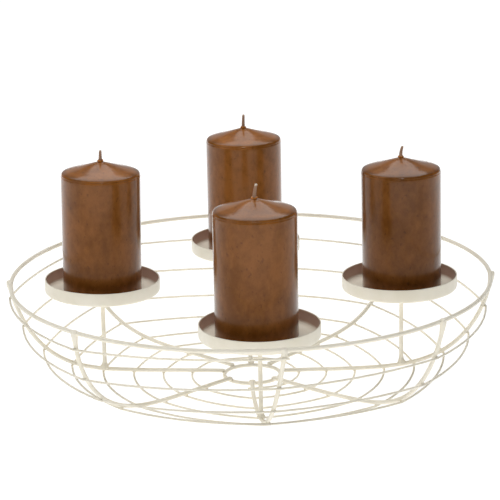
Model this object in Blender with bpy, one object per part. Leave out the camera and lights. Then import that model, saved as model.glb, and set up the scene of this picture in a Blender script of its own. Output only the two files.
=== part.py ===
"""A metal advent wreath: a welded wire bowl with four candle plates, four pillar candles and wicks.

Metres, +Z up. The front candle stands towards -Y, the left one towards -X.
"""

import math

import bpy
import numpy as np
from mathutils import Matrix, Vector

# Wire
GAP = 0.0003  # left free at every weld and under everything that stands on something
THICK_R = 0.0016  # hoop, ribs, hub ring and posts
THIN_R = 0.00085  # spiral
SECTION_TILT = math.radians(22.5)  # turns a flat of the eight-sided wire down
SECTION_FLAT = math.cos(math.radians(22.5))

# Bowl: the surface that the middle of every rib lies in, flat in the middle and steep at the hoop
BOWL_R = 0.184
BOWL_DEPTH = 0.0776
BOWL_SIDE = 6.1
BOWL_FLOOR = 1.49
SPIRAL_OFFSET = THICK_R + GAP + THIN_R
FLOOR_Z = SPIRAL_OFFSET + THIN_R
RING_Z = FLOOR_Z + BOWL_DEPTH
RING_R = 0.183
RING_STEPS = 96
HUB_R = 0.0217
HUB_Z = THICK_R * SECTION_FLAT
HUB_STEPS = 32

# Ribs, in order round the bowl: azimuth at the hub, azimuth at the hoop, bulge of the bend
RIBS = {
    "front": (-90.5, -83.0, 0.0),
    "front_right": (-44.0, -42.1, 0.0022),
    "right": (3.4, -2.2, -0.0004),
    "back_right": (52.6, 48.1, 0.0003),
    "back": (92.0, 91.5, 0.0),
    "back_left": (133.7, 140.9, -0.0007),
    "left": (171.7, 182.3, 0.0014),
    "front_left": (221.8, 227.1, -0.0005),
}
RIB_BULGE = (0.33, 0.93)  # the bend, as shares of the way from hub to hoop
RIB_FLOOR_STEPS = 5
RIB_BEND_STEPS = 18
RIB_WELD = ((0.0060, 1.0), (0.0035, 1.1), (0.0018, 1.4), (0.0, 1.9))  # below the hoop, thickening

# Spiral
SPIRAL_TURNS = 8
SPIRAL_ARC = 0.0309  # along the bowl from its middle to the first turn
SPIRAL_PITCH = 0.0216
SPIRAL_WIDENING = 0.00024
SPIRAL_STEPS = 5  # between one rib and the next
SPIRAL_TAIL = 0.0035  # past the front rib at both ends
# Hand winding: how far up the bowl the spiral sways at each rib, and how it runs on from there
# to the next one, where 0 is round and 1 is straight
SPIRAL_SWAY = {
    "front": (0.0029, 0.38),
    "front_right": (0.0, 0.18),
    "right": (-0.0015, 0.43),
    "back_right": (0.0017, 0.10),
    "back": (-0.0018, 0.52),
    "back_left": (0.0083, 0.45),
    "left": (0.0008, 0.20),
    "front_left": (-0.0060, 0.35),
}
SWAY_HALF_WAVES = 0.9  # from hub to hoop, so that the sway fades near both ends

# Candle places
PLACES = ("front", "right", "back", "left")
PLACE_R = 0.1143
POST_OUT = {"front": 0.0, "right": 0.002, "back": 0.0, "left": 0.001}  # off the plate's middle
PLATE_LEAN = {"front": 0.0, "right": -0.5, "back": 0.0, "left": 1.1}  # degrees towards +X
PLATE_R = 0.0442
PLATE_TOP_Z = RING_Z - 0.0015
PLATE_H = 0.0104
PLATE_SHEET = 0.001
POST_WELD = ((0.0, 2.0), (0.0016, 1.5), (0.0040, 1.1), (0.0065, 1.0))  # above the rib, thinning
CANDLE_R = 0.0303
CANDLE_H = 0.102
CANDLE_CONE = 0.0115
CANDLE_SHIFT = {"front": -0.0020, "right": 0.0019, "back": 0.0, "left": 0.0}  # on the plate, along X
TURNED_STEPS = 40
WICK_R = 0.0011
WICKS = {  # height, sideways lean
    "front": (0.0098, 0.0016),
    "right": (0.0078, 0.0015),
    "back": (0.0100, 0.0004),
    "left": (0.0078, 0.0001),
}

COAT = ((0.80, 0.76, 0.68, 1.0), 0.45)
WAX = ((0.19, 0.075, 0.03, 1.0), 0.4)
COTTON = ((0.16, 0.09, 0.05, 1.0), 0.9)


def clear_scene():
    for scene_object in list(bpy.data.objects):
        bpy.data.objects.remove(scene_object, do_unlink=True)


def bowl_table():
    """Arc length from the middle, radius and height along the bowl, up to the hoop's height."""
    turn = 0.5 * math.pi * np.linspace(0.0, 1.0, 1200) ** 3
    radius = BOWL_R * np.sin(turn) ** (2.0 / BOWL_SIDE)
    height = RING_Z - BOWL_DEPTH * np.cos(turn) ** (2.0 / BOWL_FLOOR)
    arc = np.concatenate([[0.0], np.cumsum(np.hypot(np.diff(radius), np.diff(height)))])
    return arc, radius, height


ARC, RADIUS, HEIGHT = bowl_table()
RIB_START = float(np.interp(HUB_R + THICK_R + GAP, RADIUS, ARC))
RIB_END = float(np.interp(RING_Z - THICK_R - GAP, HEIGHT, ARC))
BEND_START = float(np.interp(0.6 * BOWL_R, RADIUS, ARC))
PLACE_ARC = float(np.interp(PLACE_R, RADIUS, ARC))


def bowl_at(arc):
    """Radius, height and the outward normal (radial, vertical) at one arc length."""
    step = 0.0005
    near = np.array([np.interp(arc - step, ARC, RADIUS), np.interp(arc - step, ARC, HEIGHT)])
    far = np.array([np.interp(arc + step, ARC, RADIUS), np.interp(arc + step, ARC, HEIGHT)])
    along = (far - near) / np.linalg.norm(far - near)
    radius = float(np.interp(arc, ARC, RADIUS))
    height = float(np.interp(arc, ARC, HEIGHT))
    return radius, height, (float(along[1]), -float(along[0]))


def around(radius, azimuth, height):
    angle = math.radians(azimuth)
    return Vector((radius * math.cos(angle), radius * math.sin(angle), height))


def rib_share(arc):
    """How far along its rib an arc length lies, 0 at the hub and 1 at the hoop."""
    return min(max((arc - RIB_START) / (RIB_END - RIB_START), 0.0), 1.0)


def rib_azimuth(place, arc):
    at_hub, at_hoop, _ = RIBS[place]
    return at_hub + (at_hoop - at_hub) * rib_share(arc)


def rib_bulge(place, arc):
    start, end = RIB_BULGE
    share = min(max((rib_share(arc) - start) / (end - start), 0.0), 1.0)
    return RIBS[place][2] * math.sin(math.pi * share) ** 2


def rib_point(place, arc):
    radius, height, normal = bowl_at(arc)
    bulge = rib_bulge(place, arc)
    return around(radius + bulge * normal[0], rib_azimuth(place, arc), height + bulge * normal[1])


def give_material(data, name, look):
    color, roughness = look
    material = bpy.data.materials.new(name)
    material.use_nodes = True
    shader = material.node_tree.nodes["Principled BSDF"]
    shader.inputs["Base Color"].default_value = color
    shader.inputs["Roughness"].default_value = roughness
    data.materials.append(material)


def add_object(name, data, look, stand=None):
    give_material(data, name, look)
    made = bpy.data.objects.new(name, data)
    made.matrix_world = stand or Matrix()
    bpy.context.collection.objects.link(made)
    return made


def make_wire(name, points, radius, look=COAT, stand=None, closed=False, swell=None):
    """Round wire through the points; swell thickens it point by point, as at a weld."""
    curve = bpy.data.curves.new(name, "CURVE")
    curve.dimensions = "3D"
    curve.twist_mode = "Z_UP" if closed else "MINIMUM"
    curve.bevel_depth = radius
    curve.bevel_resolution = 2 if radius > THIN_R * 1.5 else 1
    curve.use_fill_caps = True
    spline = curve.splines.new("POLY")
    spline.points.add(len(points) - 1)
    for i, point in enumerate(points):
        spline.points[i].co = (*point, 1.0)
        spline.points[i].radius = swell[i] if swell else 1.0
        spline.points[i].tilt = SECTION_TILT
    spline.use_cyclic_u = closed
    return add_object(name, curve, look, stand)


def make_turned(name, profile, look, stand):
    """Body turned about its Z; the profile of radius and height runs from its top down its outer side."""
    mesh = bpy.data.meshes.new(name)
    vertices = [(radius, 0.0, height) for radius, height in profile]
    edges = [(i, i + 1) for i in range(len(profile) - 1)]
    mesh.from_pydata(vertices, edges, [])
    turned = add_object(name, mesh, look, stand)
    screw = turned.modifiers.new("Turned", "SCREW")
    screw.steps = TURNED_STEPS
    screw.render_steps = TURNED_STEPS
    screw.use_merge_vertices = True
    screw.merge_threshold = 0.00001
    return turned


def make_hoop(name, radius, height, steps):
    points = [around(radius, 360.0 * i / steps, height) for i in range(steps)]
    make_wire(name, points, THICK_R, closed=True)


def make_rib(place):
    """Rib from the hub ring out and up to the hoop; its last stretch is upright under the hoop."""
    weld_start, weld_end = RIB_END - RIB_WELD[0][0], RIB_END - RIB_WELD[2][0]
    arcs = list(np.linspace(RIB_START, BEND_START, RIB_FLOOR_STEPS + 1)[:-1])
    arcs += list(np.linspace(BEND_START, weld_start, RIB_BEND_STEPS + 1)[:-1])
    swell = [1.0] * len(arcs) + [thickening for _, thickening in RIB_WELD]
    arcs += [RIB_END - below for below, _ in RIB_WELD[:-1]]
    points = [rib_point(place, arc) for arc in arcs]
    top = rib_point(place, weld_end)
    points.append(Vector((top.x, top.y, RING_Z - THICK_R - GAP)))
    make_wire("rib_" + place, points, THICK_R, swell=swell)


def spiral_arc(turn):
    return SPIRAL_ARC + SPIRAL_PITCH * turn + SPIRAL_WIDENING * turn * turn


def swayed_arc(place, turn):
    """Arc length of the spiral as it would be if it swayed everywhere as it does at this rib."""
    arc = spiral_arc(turn)
    return arc + SPIRAL_SWAY[place][0] * math.sin(SWAY_HALF_WAVES * math.pi * rib_share(arc))


def spiral_crossings():
    """Rib and turn count of each place where the spiral passes a rib, from the hub outwards."""
    start = rib_azimuth("front", swayed_arc("front", 0.0))
    crossings = []
    for lap in range(SPIRAL_TURNS + 1):
        for place in RIBS if lap < SPIRAL_TURNS else ("front",):
            turn = float(lap)
            for _ in range(5):
                turn = lap + (rib_azimuth(place, swayed_arc(place, turn)) - start) % 360.0 / 360.0
            crossings.append((place, turn))
    return start, crossings


def spiral_point(azimuth, arc, bulge, pull):
    radius, height, normal = bowl_at(arc)
    away = SPIRAL_OFFSET + bulge
    return around((radius + away * normal[0]) * pull, azimuth, height + away * normal[1])


def make_spiral():
    """One long wire under the ribs, a little straighter between them than a true spiral."""
    start, crossings = spiral_crossings()
    points = []
    for (place, turn), (next_place, next_turn) in zip(crossings, crossings[1:]):
        half = math.pi * (next_turn - turn)
        for i in range(SPIRAL_STEPS):
            share = i / SPIRAL_STEPS
            here = turn + (next_turn - turn) * share
            arc = (1.0 - share) * swayed_arc(place, here) + share * swayed_arc(next_place, here)
            bulge = (1.0 - share) * rib_bulge(place, arc) + share * rib_bulge(next_place, arc)
            chord = math.cos(half) / math.cos(half * (2.0 * share - 1.0))
            pull = 1.0 - SPIRAL_SWAY[place][1] * (1.0 - chord)
            points.append(spiral_point(start + 360.0 * here, arc, bulge, pull))
    last_place, last_turn = crossings[-1]
    last_arc = swayed_arc(last_place, last_turn)
    last_bulge = rib_bulge(last_place, last_arc)
    points.append(spiral_point(start + 360.0 * last_turn, last_arc, last_bulge, 1.0))
    first_tail = points[0] + (points[0] - points[1]).normalized() * SPIRAL_TAIL
    last_tail = points[-1] + (points[-1] - points[-2]).normalized() * SPIRAL_TAIL
    make_wire("spiral_wire", [first_tail, *points, last_tail], THIN_R)


def stand_at(place, aside, height):
    """Where something stands, off the middle of a plate's underside and leaning as the plate does."""
    on_rib = rib_point(place, PLACE_ARC)
    underside = Matrix.Translation((on_rib.x, on_rib.y, PLATE_TOP_Z - PLATE_H))
    lean = Matrix.Rotation(math.radians(PLATE_LEAN[place]), 4, "Y")
    return underside @ lean @ Matrix.Translation((aside, 0.0, height))


def make_post(place):
    """Post square to the rib at its foot, then upright to the plate."""
    arc = float(np.interp(PLACE_R + POST_OUT[place], RADIUS, ARC))
    on_rib = rib_point(place, arc)
    outward, upward = bowl_at(arc)[2]
    from_rib = around(-outward, rib_azimuth(place, arc), -upward)
    foot = on_rib + from_rib * (THICK_R + GAP)
    second = foot + from_rib * POST_WELD[1][0]
    points = [foot, second]
    for above, _ in POST_WELD[2:]:
        points.append(Vector((second.x, second.y, foot.z + above)))
    points.append(Vector((second.x, second.y, PLATE_TOP_Z - PLATE_H - GAP)))
    swell = [thickening for _, thickening in POST_WELD] + [1.0]
    make_wire("post_" + place, points, THICK_R, swell=swell)


def make_plate(place):
    inner = PLATE_R - PLATE_SHEET
    profile = [
        (0.0, PLATE_SHEET),
        (inner - 0.0012, PLATE_SHEET),
        (inner, 0.0024),
        (inner, PLATE_H),
        (PLATE_R, PLATE_H),
        (PLATE_R, 0.0021),
        (PLATE_R - 0.0007, 0.0006),
        (PLATE_R - 0.0022, 0.0),
        (0.0, 0.0),
    ]
    make_turned("plate_" + place, profile, COAT, stand_at(place, 0.0, 0.0))


def make_candle(place):
    shoulder = CANDLE_H - CANDLE_CONE
    profile = [
        (0.0, CANDLE_H),
        (0.003, CANDLE_H - 0.0011),
        (0.0109, shoulder + 0.0076),
        (0.0160, shoulder + 0.0058),
        (CANDLE_R - 0.0043, shoulder + 0.0033),
        (CANDLE_R - 0.0017, shoulder + 0.0024),
        (CANDLE_R - 0.0006, shoulder + 0.0013),
        (CANDLE_R, shoulder - 0.0004),
        (CANDLE_R, 0.0008),
        (CANDLE_R - 0.0008, 0.0),
        (0.0, 0.0),
    ]
    foot = PLATE_SHEET + GAP
    aside = CANDLE_SHIFT[place]
    make_turned("candle_" + place, profile, WAX, stand_at(place, aside, foot))
    make_wick(place, stand_at(place, aside, foot + CANDLE_H + GAP))


def make_wick(place, stand):
    tall, lean = WICKS[place]
    points = [Vector((lean * share * share, 0.0, tall * share)) for share in np.linspace(0.0, 1.0, 5)]
    make_wire("wick_" + place, points, WICK_R, look=COTTON, stand=stand)


def main():
    clear_scene()
    make_hoop("top_ring", RING_R, RING_Z, RING_STEPS)
    make_hoop("hub_ring", HUB_R, HUB_Z, HUB_STEPS)
    for place in RIBS:
        make_rib(place)
    make_spiral()
    for place in PLACES:
        make_post(place)
        make_plate(place)
        make_candle(place)


main()
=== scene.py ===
"""Looks of the metal advent wreath: powder coated wire and plates, dipped wax candles, braided wicks.

Metres, +Z up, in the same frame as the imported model. The front candle stands towards -Y.
"""

import math
import random

import bmesh
import bpy
from mathutils import Matrix, Vector


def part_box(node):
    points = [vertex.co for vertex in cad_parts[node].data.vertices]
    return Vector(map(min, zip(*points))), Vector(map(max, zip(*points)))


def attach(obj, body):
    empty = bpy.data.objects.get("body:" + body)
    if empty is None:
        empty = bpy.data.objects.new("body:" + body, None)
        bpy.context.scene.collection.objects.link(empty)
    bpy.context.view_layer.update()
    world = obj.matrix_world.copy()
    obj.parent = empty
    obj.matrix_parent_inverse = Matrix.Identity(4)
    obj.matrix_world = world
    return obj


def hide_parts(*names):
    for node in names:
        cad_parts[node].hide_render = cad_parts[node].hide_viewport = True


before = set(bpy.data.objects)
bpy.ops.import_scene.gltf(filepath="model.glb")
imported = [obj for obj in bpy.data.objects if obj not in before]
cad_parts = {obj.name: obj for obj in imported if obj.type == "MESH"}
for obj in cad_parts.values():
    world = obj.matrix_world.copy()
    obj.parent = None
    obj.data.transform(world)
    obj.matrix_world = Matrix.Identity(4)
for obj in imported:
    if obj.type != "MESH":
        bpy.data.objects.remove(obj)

bl_info = {
    "name": "Advent wreath looks",
    "version": (1, 0, 0),
    "blender": (4, 5, 0),
    "location": "View3D > Sidebar > Wreath",
    "description": "Models and finishes a welded wire advent wreath with four candles",
    "category": "Object",
}

THICK_R = 0.0016  # wire of the hoops, the ribs and the posts
THIN_R = 0.00085  # wire of the spiral
GAP = 0.0003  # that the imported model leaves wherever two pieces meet

# How many sides the wires, the wicks' strands and the round pieces have
THICK_SIDES = 16
THIN_SIDES = 12
STRAND_SIDES = 10
ROUND_SIDES = 96

# Bowl: the surface that the middle of every rib lies in. Its outline is a superellipse, where
# (radius / BOWL_R) ** BOWL_SIDE + (depth / BOWL_DEPTH) ** BOWL_FLOOR is 1
BOWL_R = 0.184
BOWL_DEPTH = 0.0776
BOWL_SIDE = 6.1
BOWL_FLOOR = 1.49
BOWL_STEPS = 1200

# Top ring, which is the bowl's hoop, and hub ring
RING_R = 0.183
RING_STEPS = 240
HUB_R = 0.0217
HUB_STEPS = 96
RING_SEAM_AZIMUTH = 152.5
RING_SEAM_REACH = 1.2  # degrees to each side of the seam without even steps
# Closing weld of the top ring: degrees from the seam, share of the wire's radius
RING_SEAM = (
    (-1.1, 1.0),
    (-0.6, 1.1),
    (-0.22, 1.12),
    (-0.07, 0.97),
    (0.0, 0.62),
    (0.07, 0.97),
    (0.22, 1.1),
    (0.6, 1.05),
)

# Ribs, in order round the bowl: azimuth at the hub, azimuth at the hoop, bulge of the bend
RIBS = {
    "front": (-90.5, -83.0, 0.0),
    "front_right": (-44.0, -42.1, 0.0022),
    "right": (3.4, -2.2, -0.0004),
    "back_right": (52.6, 48.1, 0.0003),
    "back": (92.0, 91.5, 0.0),
    "back_left": (133.7, 140.9, -0.0007),
    "left": (171.7, 182.3, 0.0014),
    "front_left": (221.8, 227.1, -0.0005),
}
RIB_BULGE = (0.33, 0.93)  # shares of the rib's length between which it bulges
RIB_STEPS = 56
RIB_WELD_LENGTH = 0.011  # of the upper end that is thickened
# Weld of a rib to the hoop: height over the middle of the hoop, share of the wire's radius
RIB_WELD = (
    (-0.0105, 1.0),
    (-0.0075, 1.12),
    (-0.005, 1.3),
    (-0.003, 1.48),
    (-0.001, 1.6),
    (0.0005, 1.62),
    (0.0014, 1.5),
    (0.0019, 1.05),
    (0.002, 0.5),
)
HUB_BEAD = (0.0026, 0.0015, 0.0019)  # half its size across the rib, upwards and along the rib
HUB_BEAD_INWARD = 0.0004  # from the rib's end

# Spiral
SPIRAL_TURNS = 8
SPIRAL_ARC = 0.0309  # along the bowl from its middle, where the wire starts
SPIRAL_PITCH = 0.0216
SPIRAL_WIDENING = 0.00024
SPIRAL_STEPS = 9
SPIRAL_TAIL = 0.0035
SETTLE_ROUNDS = 5  # to find where the spiral passes a rib that isn't quite radial
# Sway up the bowl at each rib, and how straight the wire runs on from there to the next one
SPIRAL_SWAY = {
    "front": (0.0029, 0.38),
    "front_right": (0.0, 0.18),
    "right": (-0.0015, 0.43),
    "back_right": (0.0017, 0.10),
    "back": (-0.0018, 0.52),
    "back_left": (0.0083, 0.45),
    "left": (0.0008, 0.20),
    "front_left": (-0.0060, 0.35),
}
SWAY_HALF_WAVES = 0.9
# Least and greatest half size of a bead at a crossing: along the spiral, along the rib, outwards
SPIRAL_BEAD = ((0.0014, 0.0019), (0.0009, 0.0012), (0.0007, 0.0009))
SPIRAL_BEAD_SEED = 12

# Candle places
PLACES = ("front", "right", "back", "left")
PLACE_R = 0.1143
POST_OUT = {"front": 0.0, "right": 0.002, "back": 0.0, "left": 0.001}  # off the plate's middle
# Post and its welds: where along it, share of the wire's radius
POST_FOOT = ((-0.0012, 2.05), (-0.0003, 2.1), (0.0006, 1.85), (0.0016, 1.5))  # square to the rib
POST_RISE = ((0.0028, 1.22), (0.0042, 1.08), (0.0065, 1.0))  # upright from there
POST_HEAD = ((0.0032, 1.0), (0.0018, 1.12), (0.0008, 1.45), (0.0, 1.9))  # below its top

# Plates
PLATE_LEAN = {"front": 0.0, "right": -0.5, "back": 0.0, "left": 1.1}  # degrees towards +X
PLATE_R = 0.0442
PLATE_UNDER_RING = 0.0015  # of its rim's top, below the middle of the top ring
PLATE_H = 0.0104
PLATE_FLOOR_RINGS = (0.009, 0.012)  # widths, inwards, of the rings of faces in its floor
PLATE_UNDER_ROUND = 0.0022
PLATE_INNER_ROUND = 0.0013
PLATE_LIP_ROUND = 0.0003
# Where the painted shade inside a plate, reddened by painted light bounced off its candle, begins and is
# full: distance from its middle, and heights over its underside at which it leaves the outside, grows up
# the rim and ends under the lip
PAINTED_SHADE_INSIDE = (PLATE_R - 0.0007, PLATE_R - 0.0009)
PAINTED_SHADE_ABOVE = (0.0005, 0.0008)
PAINTED_SHADE_UP_RIM = (0.0010, 0.0026)
PAINTED_SHADE_ON_FLOOR = 0.1
PAINTED_SHADE_UNDER_LIP = (PLATE_H - 0.0002, PLATE_H - 0.0006)

# Candles
CANDLE_R = 0.0303
CANDLE_H = 0.102
CANDLE_CONE = 0.0115
CANDLE_SHOULDER = CANDLE_H - CANDLE_CONE  # height of the foot of the cone
CANDLE_FOOT_ROUND = 0.0008
CANDLE_SHIFT = {"front": -0.0020, "right": 0.0019, "back": 0.0, "left": 0.0}  # on its plate, along X
# Outline of the candle's edge, upwards: height over the foot of the cone, inset from the side
CANDLE_EDGE = (
    (-0.0030, 0.00010),
    (-0.0014, 0.00010),
    (-0.0009, 0.0),
    (-0.0005, 0.0),
    (-0.0001, 0.00018),
    (0.0003, 0.00036),
    (0.0007, 0.00032),
    (0.0010, 0.00040),
    (0.0014, 0.00060),
    (0.0018, 0.00082),
    (0.0021, 0.00112),
    (0.0024, 0.0017),
    (0.0027, 0.0026),
    (0.0033, 0.0043),
)
# The rest of the cone up to the wick: shares of the candle's radius and of the cone's height
CONE_OUTLINE = (
    (0.72, 0.39),
    (0.53, 0.52),
    (0.36, 0.67),
    (0.20, 0.80),
    (0.165, 0.83),
    (0.14, 0.835),
    (0.115, 0.845),
    (0.09, 0.89),
    (0.04, 0.93),
)
CRATER_R = 0.0018
CRATER_EDGE_R = 0.0006
CRATER_SUNK = 0.0005  # of its middle, below the top of the candle
CRATER_LUMPS = 5
CRATER_LUMP_R = 0.0009
CRATER_LIFT = (0.0001, 0.0004)  # least and greatest height that a lump is raised by
CRATER_SEED = 40

# Wax. Painted light and shade on each candle: the right one is darker as painted shade, the back one
# lighter as painted light that makes up for less light
WAX_PAINTED_LIGHT = {"front": 1.0, "right": 0.84, "back": 1.18, "left": 1.02}
WAX_SHIFT = 0.31  # from one candle's pattern to the next
# Brightness in the pits, painted light on the cone, painted highlight on the crater's rim, painted light at
# the foot and painted highlights along the two ridges
PIT_TONE = 0.70
PAINTED_CONE_LIGHT = 1.6
PAINTED_CRATER_HIGHLIGHT = 1.7
PAINTED_FOOT_LIGHT = 1.3
PAINTED_RIDGE_HIGHLIGHT = 1.5
# Heights on the candle where these begin or end, and how far a ridge's painted highlight fades out
PAINTED_CONE_LIGHT_Z = (CANDLE_SHOULDER + 0.0025, CANDLE_SHOULDER + 0.0036)
PAINTED_CRATER_HIGHLIGHT_Z = (CANDLE_H - 0.0006, CANDLE_H - 0.0002)
PAINTED_FOOT_LIGHT_Z = (0.006, 0.011)
RIDGES = (CANDLE_SHOULDER - 0.0001, CANDLE_SHOULDER + 0.0015)
PAINTED_RIDGE_HIGHLIGHT_FADE = (0.0001, 0.0005)

# Wicks
WICKS = {  # height, sideways lean
    "front": (0.0098, 0.0016),
    "right": (0.0078, 0.0015),
    "back": (0.0100, 0.0004),
    "left": (0.0078, 0.0001),
}
PALE_TIPS = ("front",)
BARE_TIP = (0.0022, 0.0012)  # below the tip, where the bare cotton begins and is full
STRANDS = 3
BRAID_STEPS = 40
BRAID_FOOT = -0.002  # where the strands begin, in the wax
BRAID_EXTRA = 0.0016  # that they are longer than the wick's height
BRAID_TURN = 0.0042
BRAID_WIDE = 0.0006
BRAID_DEEP = 0.0004
BRAID_TAPER = (1.2, 0.7)  # share of that width and depth at the foot and at the tip
STRAND_TAPER = (1.1, 0.9)  # share of the strand's radius at the foot and before its cut end
STRAND_TIP = (0.85, 0.7, 0.45)  # the same at the cut end

# Shares of red, green and blue in the coat's deeper clouds, and in the painted shade between the cotton's
# fibres
COAT_DEEP = (0.93, 0.92, 0.88)
COTTON_FIBRE_SHADE = (0.55, 0.55, 0.55)
BARE_COTTON = (0.80, 0.72, 0.60, 1.0)

# Where the floor begins to glow more and where it does so fully: along Y, and to each side
FLOOR_FRONT = (-0.3, -0.5)
FLOOR_SIDE = (0.5, 0.9)
FLOOR_RADIUS = 9.0


class WreathSizes(bpy.types.PropertyGroup):
    """Sizes of the wire, the plates and the wicks' strands."""

    thick_radius: bpy.props.FloatProperty(
        name="Thick wire radius",
        description="Radius of the wire of the top ring, ribs and posts",
        default=THICK_R,
        unit="LENGTH",
    )
    thin_radius: bpy.props.FloatProperty(
        name="Thin wire radius",
        description="Radius of the spiral wire",
        default=THIN_R,
        unit="LENGTH",
    )
    sheet: bpy.props.FloatProperty(
        name="Plate sheet",
        description="Thickness of the sheet that the candle plates are pressed from",
        default=0.001,
        unit="LENGTH",
    )
    strand_radius: bpy.props.FloatProperty(
        name="Wick strand radius",
        description="Radius of each of the three strands that a wick is braided from",
        default=0.00066,
        unit="LENGTH",
    )


class WreathColours(bpy.types.PropertyGroup):
    """Colours of the three finishes and gloss of the coat."""

    coat: bpy.props.FloatVectorProperty(
        name="Coat",
        description="Colour of the powder coat",
        subtype="COLOR",
        size=4,
        min=0.0,
        max=1.0,
        default=(0.92, 0.87, 0.745, 1.0),
    )
    coat_roughness: bpy.props.FloatProperty(
        name="Coat roughness",
        description="Roughness of the powder coat",
        subtype="FACTOR",
        default=0.38,
    )
    # Painted shade inside the plates' rims, reddened as painted light bounced off the candles
    painted_rim_shade: bpy.props.FloatVectorProperty(
        name="Plate inside",
        description="Darker tint inside the plates' rims, for the shade and glow of the candles there",
        subtype="COLOR",
        size=4,
        min=0.0,
        max=1.0,
        default=(0.50, 0.33, 0.26, 1.0),
    )
    wax: bpy.props.FloatVectorProperty(
        name="Wax",
        description="Main colour of the candle wax",
        subtype="COLOR",
        size=4,
        min=0.0,
        max=1.0,
        default=(0.144, 0.047, 0.004, 1.0),
    )
    wax_bloom: bpy.props.FloatVectorProperty(
        name="Wax bloom",
        description="Colour of the paler clouds in the dipped wax",
        subtype="COLOR",
        size=4,
        min=0.0,
        max=1.0,
        default=(0.222, 0.079, 0.014, 1.0),
    )
    cotton: bpy.props.FloatVectorProperty(
        name="Cotton",
        description="Colour of the waxed wick",
        subtype="COLOR",
        size=4,
        min=0.0,
        max=1.0,
        default=(0.50, 0.30, 0.19, 1.0),
    )


class WreathStage(bpy.types.PropertyGroup):
    """Floor, light and camera."""

    floor: bpy.props.FloatVectorProperty(
        name="Floor",
        description="Colour of the floor",
        subtype="COLOR",
        size=4,
        min=0.0,
        max=1.0,
        default=(0.32, 0.32, 0.32, 1.0),
    )
    floor_glow: bpy.props.FloatProperty(
        name="Floor glow",
        description="Light that comes through the pale floor, as on a light table",
        default=0.92,
    )
    front_glow: bpy.props.FloatProperty(
        name="Front glow",
        description="The same light in front of the wreath and far out to its sides",
        default=1.7,
    )
    surround: bpy.props.FloatProperty(
        name="Surround",
        description="Brightness of the room round the stage",
        default=0.05,
    )
    top_power: bpy.props.FloatProperty(
        name="Top light",
        description="Power of the large soft light above and behind the wreath",
        unit="POWER",
        default=28.0,
    )
    side_power: bpy.props.FloatProperty(
        name="Side light",
        description="Power of the soft light from the left",
        unit="POWER",
        default=3.0,
    )
    strip_power: bpy.props.FloatProperty(
        name="Strip light",
        description="Power of the narrow light over the front that draws the candles' shoulders",
        unit="POWER",
        default=5.0,
    )
    back_power: bpy.props.FloatProperty(
        name="Back light",
        description="Power of the wide low light behind the wreath that shines along its edges",
        unit="POWER",
        default=5.0,
    )
    lens: bpy.props.FloatProperty(
        name="Lens",
        description="Focal length of the camera in millimetres",
        default=156.0,
    )


def start_clean():
    """Object mode with nothing selected."""
    if bpy.context.object and bpy.context.object.mode != "OBJECT":
        bpy.ops.object.mode_set(mode="OBJECT")
    bpy.ops.object.select_all(action="DESELECT")


def select_only(*objects):
    start_clean()
    for picked in objects:
        picked.select_set(True)
    bpy.context.view_layer.objects.active = objects[0]


def copy_of(piece):
    """A copy with a mesh of its own."""
    select_only(piece)
    bpy.ops.object.duplicate(linked=False)
    return bpy.context.object


def join(name, objects, stand=None):
    """Joins the objects into the first one, stands it where it belongs and puts that in its mesh."""
    select_only(*objects)
    if len(objects) > 1:
        bpy.ops.object.join()
    bpy.ops.object.transform_apply(location=True, rotation=True, scale=True)
    joined = bpy.context.object
    if stand:
        joined.matrix_world = stand
        bpy.ops.object.transform_apply(location=True, rotation=True, scale=True)
    joined.name = name
    joined.data.name = name
    return joined


def shade(piece, degrees=35.0):
    select_only(piece)
    bpy.ops.object.shade_smooth_by_angle(angle=math.radians(degrees))


def pick(piece, mode, test):
    """Selects in edit mode the faces or edges that the test is true for."""
    mesh = bmesh.from_edit_mesh(piece.data)
    bpy.ops.mesh.select_mode(type=mode)
    bpy.ops.mesh.select_all(action="DESELECT")
    for part in mesh.faces if mode == "FACE" else mesh.edges:
        if test(part):
            part.select_set(True)
    mesh.select_flush_mode()
    bmesh.update_edit_mesh(piece.data)


def faces_up(face):
    return face.normal.z > 0.9


def at_height(height, beyond=0.0, tolerance=0.00002):
    """Test for edges that lie wholly at one height, beyond a distance from the middle."""
    return lambda edge: (
        all(abs(corner.co.z - height) < tolerance for corner in edge.verts)
        and edge.verts[0].co.xy.length >= beyond
    )


def round_edges(piece, test, size, segments):
    """Bevels in edit mode the edges that the test is true for."""
    pick(piece, "EDGE", test)
    bpy.ops.mesh.bevel(offset=size, segments=segments, profile=0.5)


def finish_piece(piece, material, slot, *nodes):
    """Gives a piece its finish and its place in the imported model."""
    piece.data.materials.clear()
    piece.data.materials.append(material)
    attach(piece, "root")
    if nodes:
        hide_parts(*nodes)


# The bowl's own geometry

ARC, RADIUS, HEIGHT = range(3)  # columns of its table


def bowl_table(ring_z):
    """Arc length from the middle, radius and height along the bowl, up to the hoop's height."""
    table = []
    arc = 0.0
    for i in range(BOWL_STEPS + 1):
        turn = 0.5 * math.pi * (i / BOWL_STEPS) ** 3
        radius = BOWL_R * math.sin(turn) ** (2.0 / BOWL_SIDE)
        height = ring_z - BOWL_DEPTH * max(math.cos(turn), 0.0) ** (2.0 / BOWL_FLOOR)
        if table:
            arc += math.hypot(radius - table[-1][RADIUS], height - table[-1][HEIGHT])
        table.append((arc, radius, height))
    return table


def look_up(table, column, value, wanted):
    """The wanted column where another column passes a value; both only grow along the bowl."""
    low, high = 0, len(table) - 1
    while high - low > 1:
        middle = (low + high) // 2
        if table[middle][column] < value:
            low = middle
        else:
            high = middle
    before, after = table[low], table[high]
    share = (value - before[column]) / max(after[column] - before[column], 1e-12)
    return before[wanted] + share * (after[wanted] - before[wanted])


def node_middle(node):
    low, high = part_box(node)
    return (low + high) / 2


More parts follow.
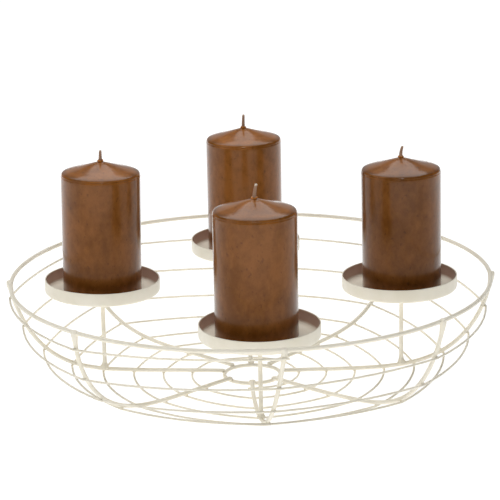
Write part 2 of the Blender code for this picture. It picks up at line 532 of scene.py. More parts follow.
RING_Z = node_middle("top_ring").z
HUB_Z = node_middle("hub_ring").z
BOWL = bowl_table(RING_Z)
RIB_START = look_up(BOWL, RADIUS, HUB_R + THICK_R + GAP, ARC)
RIB_END = look_up(BOWL, HEIGHT, RING_Z - THICK_R - GAP, ARC)
PLACE_ARC = look_up(BOWL, RADIUS, PLACE_R, ARC)
PLATE_FOOT_Z = RING_Z - PLATE_UNDER_RING - PLATE_H


def bowl_at(arc):
    """Radius, height and the outward normal (radial, vertical) at one arc length."""
    step = 0.0005
    radius, height = look_up(BOWL, ARC, arc, RADIUS), look_up(BOWL, ARC, arc, HEIGHT)
    along_r = look_up(BOWL, ARC, arc + step, RADIUS) - look_up(BOWL, ARC, arc - step, RADIUS)
    along_z = look_up(BOWL, ARC, arc + step, HEIGHT) - look_up(BOWL, ARC, arc - step, HEIGHT)
    size = math.hypot(along_r, along_z)
    return radius, height, (along_z / size, -along_r / size)


def around(radius, azimuth, height):
    angle = math.radians(azimuth)
    return Vector((radius * math.cos(angle), radius * math.sin(angle), height))


def rib_share(arc):
    return min(max((arc - RIB_START) / (RIB_END - RIB_START), 0.0), 1.0)


def rib_azimuth(place, arc):
    at_hub, at_hoop, _ = RIBS[place]
    return at_hub + (at_hoop - at_hub) * rib_share(arc)


def rib_bulge(place, arc):
    start, end = RIB_BULGE
    share = min(max((rib_share(arc) - start) / (end - start), 0.0), 1.0)
    return RIBS[place][2] * math.sin(math.pi * share) ** 2


def rib_point(place, arc):
    radius, height, normal = bowl_at(arc)
    bulge = rib_bulge(place, arc)
    return around(radius + bulge * normal[0], rib_azimuth(place, arc), height + bulge * normal[1])


def spiral_arc(turn):
    return SPIRAL_ARC + SPIRAL_PITCH * turn + SPIRAL_WIDENING * turn * turn


def swayed_arc(place, turn):
    """Arc length of the spiral as it would be if it swayed everywhere as it does at this rib."""
    arc = spiral_arc(turn)
    return arc + SPIRAL_SWAY[place][0] * math.sin(SWAY_HALF_WAVES * math.pi * rib_share(arc))


def spiral_crossings():
    """Rib and turn count of each place where the spiral passes a rib, from the hub outwards."""
    start = rib_azimuth("front", swayed_arc("front", 0.0))
    crossings = []
    for lap in range(SPIRAL_TURNS + 1):
        for place in RIBS if lap < SPIRAL_TURNS else ("front",):
            turn = float(lap)
            for _ in range(SETTLE_ROUNDS):
                turn = lap + (rib_azimuth(place, swayed_arc(place, turn)) - start) % 360.0 / 360.0
            crossings.append((place, turn))
    return start, crossings


def spiral_point(azimuth, arc, away, pull):
    radius, height, normal = bowl_at(arc)
    return around((radius + away * normal[0]) * pull, azimuth, height + away * normal[1])


def stand_at(place, aside, height):
    """Where something stands, off the middle of a plate's underside and leaning as the plate does."""
    on_rib = rib_point(place, PLACE_ARC)
    underside = Matrix.Translation((on_rib.x, on_rib.y, PLATE_FOOT_Z))
    lean = Matrix.Rotation(math.radians(PLATE_LEAN[place]), 4, "Y")
    return underside @ lean @ Matrix.Translation((aside, 0.0, height))


# Wire and weld beads


def draw_wire(name, points, radius, sides, closed=False, swell=None):
    """Draws a curve point by point, gives it a round section and turns it into a mesh."""
    start_clean()
    bpy.ops.curve.primitive_bezier_curve_add(location=(0.0, 0.0, 0.0))
    wire = bpy.context.object
    bpy.ops.object.mode_set(mode="EDIT")
    bpy.ops.curve.select_all(action="SELECT")
    bpy.ops.curve.spline_type_set(type="POLY")
    spline = wire.data.splines[0]
    spline.points[0].co = (*points[0], 1.0)
    spline.points[1].co = (*points[1], 1.0)
    bpy.ops.curve.select_all(action="DESELECT")
    spline.points[1].select = True
    for point in points[2:]:
        bpy.ops.curve.vertex_add(location=point)
    if closed:
        bpy.ops.curve.select_all(action="SELECT")
        bpy.ops.curve.cyclic_toggle()
    bpy.ops.object.mode_set(mode="OBJECT")
    spline = wire.data.splines[0]
    for i, point in enumerate(spline.points):
        point.radius = swell[i] if swell else 1.0
    wire.data.twist_mode = "Z_UP" if closed else "MINIMUM"
    wire.data.bevel_depth = radius
    wire.data.bevel_resolution = sides // 2 - 2
    wire.data.use_fill_caps = not closed
    bpy.ops.object.convert(target="MESH")
    made = bpy.context.object
    made.name = name
    made.data.name = name
    shade(made, 40.0)
    return made


def model_bead():
    """A weld bead to copy: a small ball, unequal on its two sides."""
    start_clean()
    bpy.ops.mesh.primitive_uv_sphere_add(segments=12, ring_count=7, radius=1.0)
    bead = bpy.context.object
    bpy.ops.object.mode_set(mode="EDIT")
    pick(bead, "FACE", lambda face: face.normal.z > 0.5)
    bpy.ops.transform.resize(value=(0.8, 0.85, 1.0), center_override=(0.0, 0.0, 0.0))
    bpy.ops.object.mode_set(mode="OBJECT")
    shade(bead, 80.0)
    return bead


def place_bead(bead, location, along, out, size):
    """Copies the bead to a place, its X along one direction and its Z towards another."""
    copy = copy_of(bead)
    x_axis = Vector(along).normalized()
    z_axis = Vector(out)
    z_axis = (z_axis - x_axis * z_axis.dot(x_axis)).normalized()
    y_axis = z_axis.cross(x_axis)
    turn = Matrix((x_axis, y_axis, z_axis)).transposed().to_4x4()
    copy.matrix_world = Matrix.Translation(location) @ turn @ Matrix.Diagonal((*size, 1.0))
    return copy


# Steps that the finishes share


def add_node(tree, kind, **values):
    """Adds a shader node; values name its properties or its inputs, with _ for a space."""
    node = tree.nodes.new(kind)
    for key, value in values.items():
        if hasattr(node, key):
            setattr(node, key, value)
        else:
            node.inputs[key.replace("_", " ")].default_value = value
    return node


def shade_range(tree, value, low, high, at_low=0.0, at_high=1.0, **more):
    """Factor that runs from one value to another as the input passes from low to high."""
    ranged = add_node(tree, "ShaderNodeMapRange", From_Min=low, From_Max=high, **more)
    ranged.inputs["To Min"].default_value = at_low
    ranged.inputs["To Max"].default_value = at_high
    tree.links.new(value, ranged.inputs["Value"])
    return ranged.outputs["Result"]


def reckon(tree, operation, *values):
    """Result of a maths node, where each value is a number or what another node puts out."""
    node = add_node(tree, "ShaderNodeMath", operation=operation)
    for value, socket in zip(values, node.inputs):
        if isinstance(value, float):
            socket.default_value = value
        else:
            tree.links.new(value, socket)
    return node.outputs["Value"]


def multiply_all(tree, factors):
    product = factors[0]
    for factor in factors[1:]:
        product = reckon(tree, "MULTIPLY", product, factor)
    return product


def noise(tree, place, scale, detail, roughness=0.5):
    pattern = add_node(tree, "ShaderNodeTexNoise", Scale=scale, Detail=detail, Roughness=roughness)
    tree.links.new(place, pattern.inputs["Vector"])
    return pattern.outputs["Fac"]


def two_tones(tree, value, low, low_colour, high, high_colour):
    """Colour that runs from one to another as the input passes from low to high."""
    tone = add_node(tree, "ShaderNodeValToRGB")
    first, last = tone.color_ramp.elements
    first.position = low
    first.color = low_colour
    last.position = high
    last.color = high_colour
    tree.links.new(value, tone.inputs["Fac"])
    return tone.outputs["Color"]


def lay_over(tree, colour, upper, factor):
    """Lays a plain colour over another node's colour."""
    blend = add_node(tree, "ShaderNodeMix", data_type="RGBA")
    tree.links.new(factor, blend.inputs["Factor"])
    lower_socket, upper_socket = (socket for socket in blend.inputs if socket.type == "RGBA")
    tree.links.new(colour, lower_socket)
    upper_socket.default_value = upper
    return next(socket for socket in blend.outputs if socket.type == "RGBA")


def dimmed(colour, shares):
    """The colour with its red, green and blue each times a share."""
    return tuple(share * part for share, part in zip(shares, colour)) + (1.0,)


def along_axis(tree, place, axis):
    split = add_node(tree, "ShaderNodeSeparateXYZ")
    tree.links.new(place, split.inputs["Vector"])
    return split.outputs[axis]


def own_place(tree, place, stand):
    """A place on a piece as seen from where it stands, upright and from the middle of its foot."""
    own = add_node(tree, "ShaderNodeMapping", vector_type="TEXTURE", Location=stand.to_translation())
    own.inputs["Rotation"].default_value = stand.to_euler()
    tree.links.new(place, own.inputs["Vector"])
    return own.outputs["Vector"]


def raise_relief(tree, height, normal_socket, strength, distance):
    bump = add_node(tree, "ShaderNodeBump", Strength=strength, Distance=distance)
    tree.links.new(height, bump.inputs["Height"])
    tree.links.new(bump.outputs["Normal"], normal_socket)


def new_finish(name):
    material = bpy.data.materials.new(name)
    material.use_nodes = True
    tree = material.node_tree
    shader = tree.nodes["Principled BSDF"]
    place = tree.nodes.new("ShaderNodeTexCoord").outputs["Object"]
    return material, tree, shader, place


# Finishes


def coat_finish(colours, name, stand=None):
    """Satin powder coat: orange peel, faint clouds of tone, uneven gloss; plates get painted shade and the
    candles' painted bounce light inside.
    """
    material, tree, shader, place = new_finish(name)
    link = tree.links.new
    clouds = noise(tree, place, scale=38.0, detail=3.0, roughness=0.6)
    tone = two_tones(tree, clouds, 0.32, dimmed(colours.coat, COAT_DEEP), 0.62, tuple(colours.coat))
    if stand:
        # Painted shade and the candles' painted bounce light, laid inside the plate's rim
        tone = lay_over(tree, tone, tuple(colours.painted_rim_shade), painted_shade_share(tree, own_place(tree, place, stand)))
    link(tone, shader.inputs["Base Color"])
    peel = noise(tree, place, scale=950.0, detail=2.0)
    specks = add_node(tree, "ShaderNodeTexVoronoi", Scale=420.0)
    link(place, specks.inputs["Vector"])
    dents = shade_range(tree, specks.outputs["Distance"], 0.0, 0.25, -0.5, 0.0)
    relief = reckon(tree, "ADD", peel, dents)
    raise_relief(tree, relief, shader.inputs["Normal"], strength=0.35, distance=0.00006)
    roughness = colours.coat_roughness
    gloss = shade_range(tree, clouds, 0.0, 1.0, roughness - 0.06, roughness + 0.08)
    link(gloss, shader.inputs["Roughness"])
    return material


def painted_shade_share(tree, own):
    """How far painted shade darkens a plate's coat: only inside, most of all inside its rim."""
    flat = add_node(tree, "ShaderNodeVectorMath", operation="MULTIPLY")
    tree.links.new(own, flat.inputs[0])
    flat.inputs[1].default_value = (1.0, 1.0, 0.0)
    across = add_node(tree, "ShaderNodeVectorMath", operation="LENGTH")
    tree.links.new(flat.outputs["Vector"], across.inputs[0])
    height = along_axis(tree, own, "Z")
    inside = shade_range(tree, across.outputs["Value"], *PAINTED_SHADE_INSIDE)
    above = shade_range(tree, height, *PAINTED_SHADE_ABOVE)
    up_rim = shade_range(tree, height, *PAINTED_SHADE_UP_RIM, PAINTED_SHADE_ON_FLOOR, 1.0)
    under_lip = shade_range(tree, height, *PAINTED_SHADE_UNDER_LIP)
    return multiply_all(tree, (inside, above, up_rim, under_lip))


def wax_finish(colours, name, stand, painted_light_factor, seed):
    """Dipped wax: brown under paler clouds, faint pits, painted highlights on two ridges and the crater's
    rim, painted light on the cone and foot, all scaled by each candle's painted light and shade.
    """
    material, tree, shader, place = new_finish(name)
    link = tree.links.new
    own = own_place(tree, place, stand)
    drawn = add_node(tree, "ShaderNodeMapping", Location=(seed, seed * 0.7, 0.0), Scale=(1.0, 1.0, 0.7))
    link(own, drawn.inputs["Vector"])
    stretched = drawn.outputs["Vector"]
    clouds = noise(tree, stretched, scale=36.0, detail=2.0)
    both = add_node(tree, "ShaderNodeMix", data_type="FLOAT", Factor=0.5)
    link(noise(tree, stretched, scale=190.0, detail=5.0, roughness=0.68), both.inputs["A"])
    link(clouds, both.inputs["B"])
    mottle = both.outputs["Result"]
    # Both wax colours are scaled by the candle's painted light and shade
    deep = dimmed(colours.wax, [painted_light_factor] * 3)
    pale = dimmed(colours.wax_bloom, [painted_light_factor] * 3)
    pits = noise(tree, stretched, scale=420.0, detail=1.0)
    colour = add_node(tree, "ShaderNodeVectorMath", operation="SCALE")
    link(two_tones(tree, mottle, 0.40, deep, 0.60, pale), colour.inputs[0])
    shades = wax_shades(tree, along_axis(tree, own, "Z"), pits, clouds)
    link(multiply_all(tree, shades), colour.inputs["Scale"])
    link(colour.outputs["Vector"], shader.inputs["Base Color"])
    link(shade_range(tree, mottle, 0.3, 0.7, 0.3, 0.46), shader.inputs["Roughness"])
    dents = noise(tree, stretched, scale=170.0, detail=3.0, roughness=0.55)
    raise_relief(tree, dents, shader.inputs["Normal"], strength=0.4, distance=0.0003)
    raise_relief(tree, dents, shader.inputs["Coat Normal"], strength=0.25, distance=0.00015)
    shader.inputs["Specular IOR Level"].default_value = 0.1
    shader.inputs["Coat Weight"].default_value = 1.0
    shader.inputs["Coat Roughness"].default_value = 0.13
    shader.inputs["Coat IOR"].default_value = 1.22
    shader.inputs["Subsurface Weight"].default_value = 0.1
    shader.inputs["Subsurface Radius"].default_value = (1.0, 0.45, 0.2)
    shader.inputs["Subsurface Scale"].default_value = 0.0035
    return material


def wax_shades(tree, height, pits, clouds):
    """Factors of the wax's brightness: pits, then painted light on the cone, crater, foot and two ridges.
    """
    shades = [
        shade_range(tree, pits, 0.24, 0.34, PIT_TONE, 1.0),
        # painted light on the cone, for the sky it reflects
        shade_range(tree, height, *PAINTED_CONE_LIGHT_Z, 1.0, PAINTED_CONE_LIGHT),
        # painted highlight on the crater's rim
        shade_range(tree, height, *PAINTED_CRATER_HIGHLIGHT_Z, 1.0, PAINTED_CRATER_HIGHLIGHT),
        # painted light at the foot, for bounce light the plate's rim holds back
        shade_range(tree, height, *PAINTED_FOOT_LIGHT_Z, PAINTED_FOOT_LIGHT, 1.0),
    ]
    # painted highlights along the two shoulder ridges, broken up by the clouds
    highlight_breakup = shade_range(tree, clouds, 0.42, 0.56)
    for ridge in RIDGES:
        off_ridge = reckon(tree, "ABSOLUTE", reckon(tree, "SUBTRACT", height, ridge))
        partly = add_node(tree, "ShaderNodeMix", data_type="FLOAT", A=1.0)
        tree.links.new(highlight_breakup, partly.inputs["Factor"])
        tree.links.new(shade_range(tree, off_ridge, *PAINTED_RIDGE_HIGHLIGHT_FADE, PAINTED_RIDGE_HIGHLIGHT, 1.0), partly.inputs["B"])
        shades.append(partly.outputs["Result"])
    return shades


def cotton_finish(colours, name, tip_z, pale):
    """Waxed cotton with fine fibres and painted shade between them, paler where the cut tip is bare."""
    material, tree, shader, place = new_finish(name)
    fibres = noise(tree, place, scale=2600.0, detail=2.0, roughness=0.6)
    # painted shade: darker where the fibres' relief is low
    tone = two_tones(tree, fibres, 0.3, dimmed(colours.cotton, COTTON_FIBRE_SHADE), 0.75, tuple(colours.cotton))
    low, high = (tip_z - below for below in BARE_TIP)
    tip = shade_range(tree, along_axis(tree, place, "Z"), low, high, 0.0, 0.95 if pale else 0.12)
    tree.links.new(lay_over(tree, tone, BARE_COTTON, tip), shader.inputs["Base Color"])
    raise_relief(tree, fibres, shader.inputs["Normal"], strength=0.6, distance=0.00008)
    shader.inputs["Roughness"].default_value = 0.55
    return material


def floor_finish(stage):
    """Matt pale table top lit from below, more strongly in front and far out to the sides."""
    material, tree, shader, place = new_finish("pale_floor")
    link = tree.links.new
    soft = {"interpolation_type": "SMOOTHSTEP"}
    aside = reckon(tree, "ABSOLUTE", along_axis(tree, place, "X"))
    front = shade_range(tree, along_axis(tree, place, "Y"), *FLOOR_FRONT, **soft)
    side = shade_range(tree, aside, *FLOOR_SIDE, **soft)
    outside = reckon(tree, "MAXIMUM", front, side)
    glow = shade_range(tree, outside, 0.0, 1.0, stage.floor_glow, stage.front_glow)
    link(glow, shader.inputs["Emission Strength"])
    grain = noise(tree, place, scale=9.0, detail=2.0)
    link(shade_range(tree, grain, 0.0, 1.0, 0.72, 0.86), shader.inputs["Roughness"])
    shader.inputs["Base Color"].default_value = stage.floor
    shader.inputs["Specular IOR Level"].default_value = 0.1
    shader.inputs["Emission Color"].default_value = (1.0, 1.0, 1.0, 1.0)
    return material


def coat_material():
    """The one powder coat that all the wire shares."""
    made = bpy.data.materials.get("cream_powder_coat")
    return made or coat_finish(bpy.context.scene.wreath_colours, "cream_powder_coat")


# Pieces


class WREATH_OT_hoops(bpy.types.Operator):
    """Top ring with its closing weld, and the small hub ring"""

    bl_idname = "wreath.hoops"
    bl_label = "Hoops"

    def execute(self, context):
        thick = context.scene.wreath_sizes.thick_radius
        azimuths = [360.0 * i / RING_STEPS for i in range(RING_STEPS)]
        sections = [(a, 1.0) for a in azimuths if abs(a - RING_SEAM_AZIMUTH) > RING_SEAM_REACH]
        sections += [(RING_SEAM_AZIMUTH + aside, thickening) for aside, thickening in RING_SEAM]
        sections.sort()
        points = [around(RING_R, azimuth, RING_Z) for azimuth, _ in sections]
        swell = [thickening for _, thickening in sections]
        ring = draw_wire("top_ring_looks", points, thick, THICK_SIDES, closed=True, swell=swell)
        finish_piece(ring, coat_material(), "coat", "top_ring")
        points = [around(HUB_R, 360.0 * i / HUB_STEPS, HUB_Z) for i in range(HUB_STEPS)]
        # It lies on the table, so the radius of its wire is the height of its middle
        hub = draw_wire("hub_ring_looks", points, HUB_Z, THICK_SIDES, closed=True)
        finish_piece(hub, coat_material(), "coat", "hub_ring")
        return {"FINISHED"}


class WREATH_OT_ribs(bpy.types.Operator):
    """Eight ribs, each thickened where it is welded to the top ring and beaded to the hub ring"""

    bl_idname = "wreath.ribs"
    bl_label = "Ribs"

    def execute(self, context):
        thick = context.scene.wreath_sizes.thick_radius
        bead = model_bead()
        even_end = RIB_END - RIB_WELD_LENGTH
        for place in RIBS:
            arcs = [RIB_START + (even_end - RIB_START) * i / RIB_STEPS for i in range(RIB_STEPS)]
            points = [rib_point(place, arc) for arc in arcs]
            swell = [1.0] * len(points)
            for over_ring, thickening in RIB_WELD:
                arc = look_up(BOWL, HEIGHT, min(RING_Z + over_ring, RING_Z - thick - GAP), ARC)
                point = rib_point(place, arc)
                points.append(Vector((point.x, point.y, RING_Z + over_ring)))
                swell.append(thickening)
            rib = draw_wire("rib_" + place + "_looks", points, thick, THICK_SIDES, swell=swell)
            outward = (points[1] - points[0]).normalized()
            sideways = outward.cross(Vector((0.0, 0.0, 1.0)))
            foot = points[0] - outward * HUB_BEAD_INWARD
            rib = join(rib.name, [rib, place_bead(bead, foot, sideways, outward, HUB_BEAD)])
            finish_piece(rib, coat_material(), "coat", "rib_" + place)
        bpy.data.objects.remove(bead)
        return {"FINISHED"}


class WREATH_OT_spiral(bpy.types.Operator):
    """The one long thin wire under the ribs, and the bead that holds it at every crossing"""

    bl_idname = "wreath.spiral"
    bl_label = "Spiral wire"

    def execute(self, context):
        sizes = context.scene.wreath_sizes
        offset = sizes.thick_radius + GAP + sizes.thin_radius
        start, crossings = spiral_crossings()
        points = []
        for (place, turn), (next_place, next_turn) in zip(crossings, crossings[1:]):
            half = math.pi * (next_turn - turn)
            for i in range(SPIRAL_STEPS):
                share = i / SPIRAL_STEPS
                here = turn + (next_turn - turn) * share
                arc = (1.0 - share) * swayed_arc(place, here) + share * swayed_arc(next_place, here)
                bulge = (1.0 - share) * rib_bulge(place, arc) + share * rib_bulge(next_place, arc)
                chord = math.cos(half) / math.cos(half * (2.0 * share - 1.0))
                pull = 1.0 - SPIRAL_SWAY[place][1] * (1.0 - chord)
                points.append(spiral_point(start + 360.0 * here, arc, offset + bulge, pull))
        last_place, last_turn = crossings[-1]
        last_arc = swayed_arc(last_place, last_turn)
        last_offset = offset + rib_bulge(last_place, last_arc)
        points.append(spiral_point(start + 360.0 * last_turn, last_arc, last_offset, 1.0))
        first_tail = points[0] + (points[0] - points[1]).normalized() * SPIRAL_TAIL
        last_tail = points[-1] + (points[-1] - points[-2]).normalized() * SPIRAL_TAIL
        points = [first_tail, *points, last_tail]
        spiral = draw_wire("spiral_wire_looks", points, sizes.thin_radius, THIN_SIDES)
        finish_piece(spiral, coat_material(), "coat", "spiral_wire")
        self.add_welds(start, crossings, sizes.thick_radius)
        return {"FINISHED"}

    def add_welds(self, start, crossings, thick):
        draw = random.Random(SPIRAL_BEAD_SEED)
        bead = model_bead()
        beads = []
        for place, turn in crossings:
            azimuth = start + 360.0 * turn
            arc = swayed_arc(place, turn)
            middle = thick + 0.5 * GAP + rib_bulge(place, arc)
            here = spiral_point(azimuth, arc, middle, 1.0)
            outer = spiral_point(azimuth, arc, middle + 0.001, 1.0)
            along = around(1.0, azimuth + 90.0, 0.0)
            size = [draw.uniform(least, greatest) for least, greatest in SPIRAL_BEAD]
            beads.append(place_bead(bead, here, along, outer - here, size))
        bpy.data.objects.remove(bead)
        welds = join("spiral_welds", beads)
        finish_piece(welds, coat_material(), "coat")


class WREATH_OT_posts(bpy.types.Operator):
    """Four posts, thickened where they are welded to a rib and to a plate"""

    bl_idname = "wreath.posts"
    bl_label = "Posts"

    def execute(self, context):
        thick = context.scene.wreath_sizes.thick_radius
        for place in PLACES:
            top_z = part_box("post_" + place)[1].z
            arc = look_up(BOWL, RADIUS, PLACE_R + POST_OUT[place], ARC)
            outward, upward = bowl_at(arc)[2]
            from_rib = around(-outward, rib_azimuth(place, arc), -upward)
            foot = rib_point(place, arc) + from_rib * (thick + GAP)
            points = [foot + from_rib * along for along, _ in POST_FOOT]
            bend = points[-1]
            points += [Vector((bend.x, bend.y, foot.z + above)) for above, _ in POST_RISE]
            points += [Vector((bend.x, bend.y, top_z - below)) for below, _ in POST_HEAD]
            swell = [thickening for _, thickening in POST_FOOT + POST_RISE + POST_HEAD]
            post = draw_wire("post_" + place + "_looks", points, thick, THICK_SIDES, swell=swell)
            finish_piece(post, coat_material(), "coat", "post_" + place)
        return {"FINISHED"}


class WREATH_OT_plates(bpy.types.Operator):
    """Four pressed candle plates with a low upright rim"""

    bl_idname = "wreath.plates"
    bl_label = "Candle plates"

    def execute(self, context):
        model = self.model_plate(context.scene.wreath_sizes.sheet)
        for place in PLACES:
            stand = stand_at(place, 0.0, 0.0)
            plate = join("plate_" + place + "_looks", [copy_of(model)], stand)
            shade(plate, 40.0)
            # Each plate's coat carries painted shade inside its rim
            painted_shade_coat = coat_finish(context.scene.wreath_colours, "painted_shade_coat_" + place, stand)
            finish_piece(plate, painted_shade_coat, "coat", "plate_" + place)
        bpy.data.objects.remove(model)
        return {"FINISHED"}

    def model_plate(self, sheet):
        """A plate to copy: a disc, hollowed from above, with its edges rounded."""
        half = PLATE_H / 2
        start_clean()
        bpy.ops.mesh.primitive_cylinder_add(
            vertices=ROUND_SIDES, radius=PLATE_R, depth=PLATE_H, location=(0.0, 0.0, half)
        )
        model = bpy.context.object
        bpy.ops.object.mode_set(mode="EDIT")
        pick(model, "FACE", faces_up)
        bpy.ops.mesh.inset(thickness=sheet)
        bpy.ops.mesh.extrude_region_move(TRANSFORM_OT_translate={"value": (0.0, 0.0, sheet - PLATE_H)})
        for width in PLATE_FLOOR_RINGS:
            bpy.ops.mesh.inset(thickness=width)
        round_edges(model, at_height(-half), PLATE_UNDER_ROUND, 6)
        round_edges(model, at_height(sheet - half, PLATE_R - sheet - 0.0005), PLATE_INNER_ROUND, 4)
        round_edges(model, at_height(half), PLATE_LIP_ROUND, 3)
        bpy.ops.object.mode_set(mode="OBJECT")
        return model


class WREATH_OT_candles(bpy.types.Operator):
    """Four dipped pillar candles with a low cone, and the crater of wax round each wick"""

    bl_idname = "wreath.candles"
    bl_label = "Candles"

    def execute(self, context):
        foot = context.scene.wreath_sizes.sheet + GAP
        colours = context.scene.wreath_colours
        body = self.model_body()
        for number, place in enumerate(PLACES):
            stand = stand_at(place, CANDLE_SHIFT[place], foot)
            crater = self.model_crater(CRATER_SEED + number)
            candle = join("candle_" + place + "_looks", [copy_of(body), crater], stand)
            shade(candle, 60.0)
            name = "brown_wax_" + place
            wax = wax_finish(colours, name, stand, WAX_PAINTED_LIGHT[place], WAX_SHIFT * (number + 1))
            finish_piece(candle, wax, "wax", "candle_" + place)
        bpy.data.objects.remove(body)
        return {"FINISHED"}

    def model_body(self):
        """A candle to copy: a cylinder drawn up ring by ring into its edge and cone."""
        outline = [(CANDLE_R - inset, CANDLE_SHOULDER + height) for height, inset in CANDLE_EDGE]
        outline += [(CANDLE_R * across, CANDLE_SHOULDER + CANDLE_CONE * up) for across, up in CONE_OUTLINE]
        radius, height = outline[0]
        start_clean()
        bpy.ops.mesh.primitive_cylinder_add(
            vertices=ROUND_SIDES, radius=radius, depth=height, location=(0.0, 0.0, height / 2)
        )
        body = bpy.context.object
        bpy.ops.object.transform_apply(location=True, rotation=True, scale=True)
        bpy.ops.object.mode_set(mode="EDIT")
        pick(body, "FACE", faces_up)
        for new_radius, new_height in outline[1:]:
            bpy.ops.mesh.extrude_region_move(
                TRANSFORM_OT_translate={"value": (0.0, 0.0, new_height - height)}
            )
            scale = new_radius / radius
            bpy.ops.transform.resize(value=(scale, scale, 1.0), center_override=(0.0, 0.0, 0.0))
            radius, height = new_radius, new_height
        round_edges(body, at_height(0.0), CANDLE_FOOT_ROUND, 3)
        bpy.ops.object.mode_set(mode="OBJECT")
        return body

    def model_crater(self, seed):
        """The ragged rim that dipping leaves where the wick comes out."""
        start_clean()
        bpy.ops.mesh.primitive_torus_add(
            location=(0.0, 0.0, CANDLE_H - CRATER_SUNK),
            major_segments=28,
            minor_segments=10,
            major_radius=CRATER_R,
            minor_radius=CRATER_EDGE_R,
        )
        crater = bpy.context.object
        draw = random.Random(seed)
        bpy.ops.object.mode_set(mode="EDIT")
        for _ in range(CRATER_LUMPS):
            azimuth = draw.uniform(0.0, 2.0 * math.pi)
            lump = Vector((math.cos(azimuth), math.sin(azimuth), 0.0)) * CRATER_R
            pick(crater, "FACE", lambda face: (face.calc_center_median() - lump).length < CRATER_LUMP_R)
            bpy.ops.transform.translate(value=(0.0, 0.0, draw.uniform(*CRATER_LIFT)))
        bpy.ops.object.mode_set(mode="OBJECT")
        return crater


class WREATH_OT_wicks(bpy.types.Operator):
    """Four short braided wicks"""

    bl_idname = "wreath.wicks"
    bl_label = "Wicks"

    def execute(self, context):
        sizes = context.scene.wreath_sizes
        foot = sizes.sheet + GAP + CANDLE_H + GAP
        for place in PLACES:
            strands = [self.draw_strand(place, number, sizes.strand_radius) for number in range(STRANDS)]
            wick = join("wick_" + place + "_looks", strands, stand_at(place, CANDLE_SHIFT[place], foot))
            colours = context.scene.wreath_colours
            tip_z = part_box("wick_" + place)[1].z
            cotton = cotton_finish(colours, "cotton_" + place, tip_z, place in PALE_TIPS)
            finish_piece(wick, cotton, "wick", "wick_" + place)
        return {"FINISHED"}

    def draw_strand(self, place, number, radius):
        """One strand of a braid that leans, narrows and ends in a cut tip."""
        tall, lean = WICKS[place]
        at_foot, at_tip = BRAID_TAPER
        points = []
        for i in range(BRAID_STEPS + 1):
            height = BRAID_FOOT + (tall + BRAID_EXTRA) * i / BRAID_STEPS
            share = max(height / tall, 0.0)
            angle = 2.0 * math.pi * (height / BRAID_TURN + number / STRANDS)
            squeeze = at_foot + (at_tip - at_foot) * share
            aside = lean * share * share + BRAID_WIDE * squeeze * math.cos(angle)
            points.append(Vector((aside, BRAID_DEEP * squeeze * math.sin(2.0 * angle), height)))
        thick, thin = STRAND_TAPER
        last = len(points) - len(STRAND_TIP) - 1
        swell = [thick + (thin - thick) * i / last for i in range(last + 1)] + [*STRAND_TIP]
        return draw_wire("strand_" + str(number), points, radius, STRAND_SIDES, swell=swell)


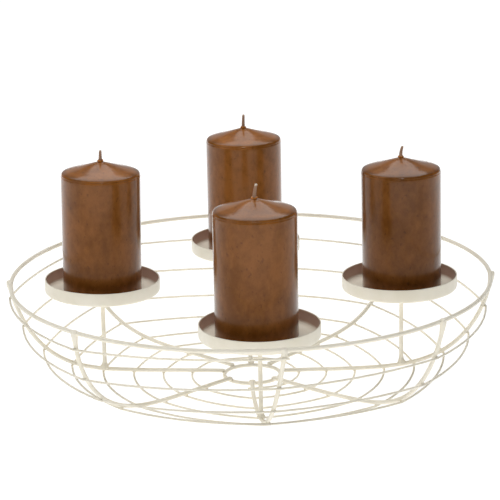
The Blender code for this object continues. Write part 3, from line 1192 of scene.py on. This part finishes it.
class WREATH_OT_stage(bpy.types.Operator):
    """Pale floor, soft studio light and the camera at the photograph's angle"""

    bl_idname = "wreath.stage"
    bl_label = "Stage"

    camera_y = -1.592
    camera_over_ring = 0.4727
    camera_pitch = math.radians(15.86)
    camera_roll = math.radians(-1.09)

    def execute(self, context):
        stage = context.scene.wreath_stage
        self.add_floor(stage)
        self.add_light("top_light", stage.top_power, (1.9, 1.9), (-0.1, 0.6, 1.75), (0.0, 0.0, 0.08))
        self.add_light("left_light", stage.side_power, (0.9, 0.9), (-1.3, -0.5, 0.75), (0.0, 0.0, 0.1))
        self.add_light("strip_light", stage.strip_power, (0.5, 0.05), (0.0, -1.5, 1.25), (0.0, 0.0, 0.16))
        self.add_light("back_light", stage.back_power, (4.0, 1.2), (0.0, 2.6, 0.62), (0.0, 0.0, 0.1))
        self.set_surround(context, stage.surround)
        self.add_camera(context, stage.lens)
        context.scene.view_settings.view_transform = "Standard"
        return {"FINISHED"}

    def add_floor(self, stage):
        start_clean()
        bpy.ops.mesh.primitive_circle_add(vertices=64, radius=FLOOR_RADIUS, fill_type="NGON")
        floor = bpy.context.object
        floor.name = "floor"
        floor.data.materials.append(floor_finish(stage))

    def add_light(self, name, power, size, location, target):
        start_clean()
        direction = Vector(target) - Vector(location)
        bpy.ops.object.light_add(
            type="AREA", location=location, rotation=direction.to_track_quat("-Z", "Y").to_euler()
        )
        light = bpy.context.object
        light.name = name
        light.data.shape = "RECTANGLE"
        light.data.size, light.data.size_y = size
        light.data.energy = power

    def set_surround(self, context, strength):
        world = bpy.data.worlds.new("pale_room")
        world.use_nodes = True
        background = world.node_tree.nodes["Background"]
        background.inputs["Color"].default_value = (1.0, 1.0, 1.0, 1.0)
        background.inputs["Strength"].default_value = strength
        context.scene.world = world

    def add_camera(self, context, lens):
        start_clean()
        turn = Matrix.Rotation(math.radians(90.0) - self.camera_pitch, 3, "X")
        turn = turn @ Matrix.Rotation(self.camera_roll, 3, "Z")
        location = (0.0, self.camera_y, RING_Z + self.camera_over_ring)
        bpy.ops.object.camera_add(location=location, rotation=turn.to_euler())
        camera = bpy.context.object
        camera.data.lens = lens
        camera.data.sensor_width = 36.0
        context.scene.camera = camera


class WREATH_PT_looks(bpy.types.Panel):
    """Lists the wreath's pieces and their values"""

    bl_idname = "WREATH_PT_looks"
    bl_label = "Advent wreath"
    bl_space_type = "VIEW_3D"
    bl_region_type = "UI"
    bl_category = "Wreath"

    def draw(self, context):
        for group in (context.scene.wreath_sizes, context.scene.wreath_colours, context.scene.wreath_stage):
            box = self.layout.box()
            for key in group.bl_rna.properties.keys():
                if key not in {"rna_type", "name"}:
                    box.prop(group, key)
        for operator in OPERATORS:
            self.layout.operator(operator.bl_idname)


GROUPS = {"wreath_sizes": WreathSizes, "wreath_colours": WreathColours, "wreath_stage": WreathStage}
OPERATORS = (
    WREATH_OT_hoops,
    WREATH_OT_ribs,
    WREATH_OT_spiral,
    WREATH_OT_posts,
    WREATH_OT_plates,
    WREATH_OT_candles,
    WREATH_OT_wicks,
    WREATH_OT_stage,
)


def register():
    for registered in (*GROUPS.values(), *OPERATORS, WREATH_PT_looks):
        bpy.utils.register_class(registered)
    for name, group in GROUPS.items():
        setattr(bpy.types.Scene, name, bpy.props.PointerProperty(type=group))


def unregister():
    for name in GROUPS:
        delattr(bpy.types.Scene, name)
    for registered in reversed((*GROUPS.values(), *OPERATORS, WREATH_PT_looks)):
        bpy.utils.unregister_class(registered)


def main():
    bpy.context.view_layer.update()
    register()
    bpy.ops.wreath.hoops()
    bpy.ops.wreath.ribs()
    bpy.ops.wreath.spiral()
    bpy.ops.wreath.posts()
    bpy.ops.wreath.plates()
    bpy.ops.wreath.candles()
    bpy.ops.wreath.wicks()
    bpy.ops.wreath.stage()


if __name__ == "__main__":
    main()
